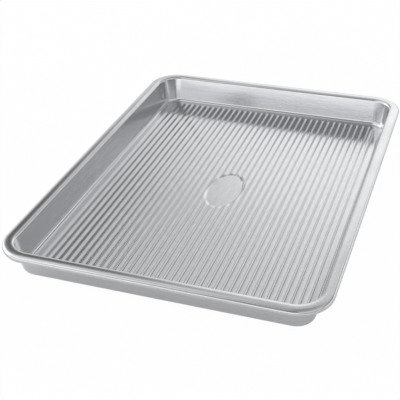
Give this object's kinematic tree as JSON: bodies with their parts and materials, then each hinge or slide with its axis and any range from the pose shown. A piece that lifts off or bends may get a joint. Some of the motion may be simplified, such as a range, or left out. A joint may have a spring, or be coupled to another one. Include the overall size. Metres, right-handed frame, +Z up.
{
  "type": "quarter sheet pan",
  "caption": "Shallow rectangular baking pan pressed from coated steel sheet, with a fluted floor, a flat oval in the middle, leaning walls and a flat rim curled round a wire.",
  "frame": {"origin": "on the table under the middle of the floor", "axes": "+X across the pan, +Y along the pan and its flutes, +Z up out of the pan's mouth"},
  "size_m": [0.2406, 0.3302, 0.0249],
  "materials": {
    "coated_sheet": "satin aluminised steel with a fine rolled grain along the flutes",
    "wire_steel": "plain drawn steel wire"
  },
  "bodies": {
    "root": {"pan_body": "coated_sheet", "rim_wire": "wire_steel"}
  },
  "joints": []
}
